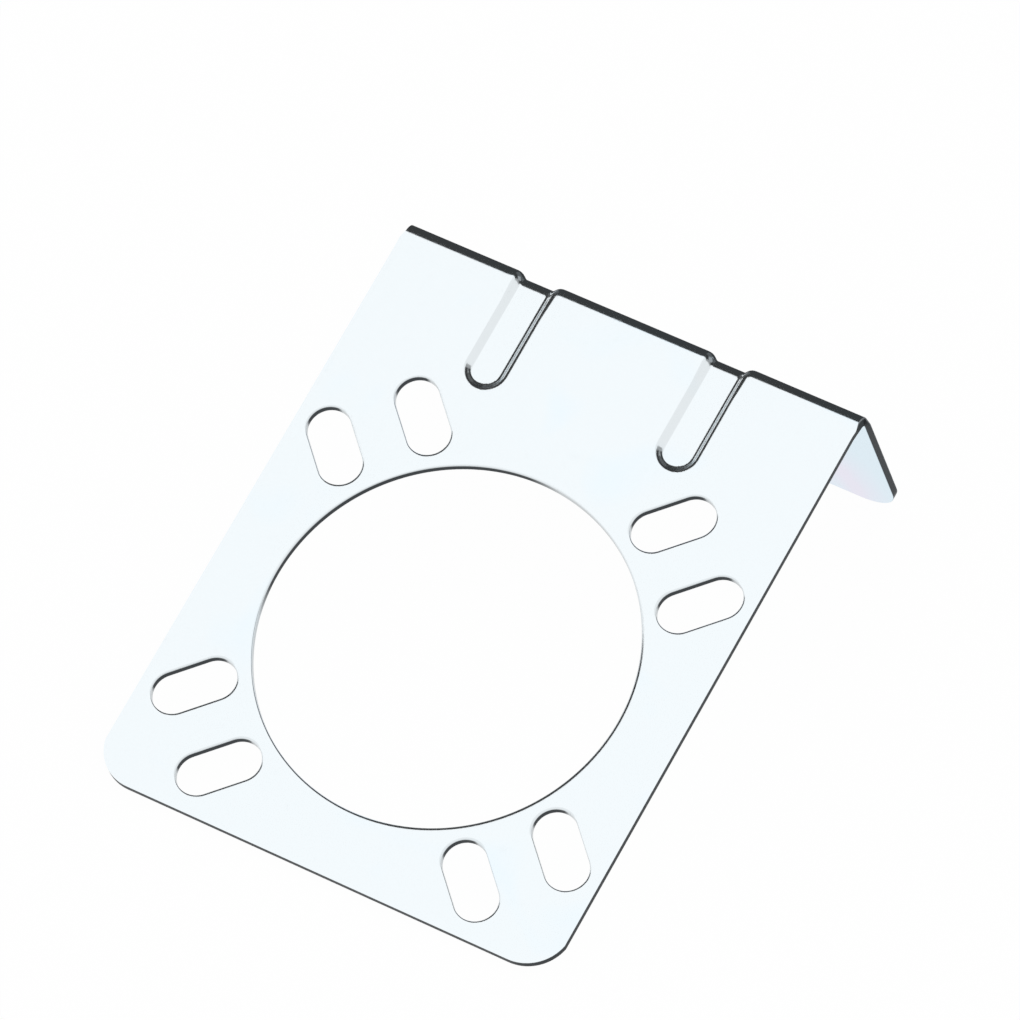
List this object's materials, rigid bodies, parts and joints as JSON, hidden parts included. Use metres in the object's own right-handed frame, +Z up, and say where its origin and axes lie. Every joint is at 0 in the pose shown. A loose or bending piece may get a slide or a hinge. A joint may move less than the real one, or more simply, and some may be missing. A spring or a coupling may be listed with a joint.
{
  "type": "stamped metal bracket",
  "caption": "Folded sheet-steel bracket with a large round bore, diagonal slot pairs and stiffening ribs across the bend, for mounting a round socket.",
  "frame": {"origin": "on the ground, below the middle of the bounding box, with the bracket at rest on the plate's near edge and the flange's free edge", "axes": "+X along the bend, +Y from the plate's near edge towards the flange, +Z up; the plate leans up by 18.60 degrees along +Y"},
  "size_m": [0.0738, 0.0982, 0.0299],
  "materials": {
    "zinc_plated_steel": "bright zinc plate with clear blue chromate, smooth rolled faces, greyer sheared edges"
  },
  "bodies": {
    "root": {"bracket": "zinc_plated_steel"}
  },
  "joints": []
}
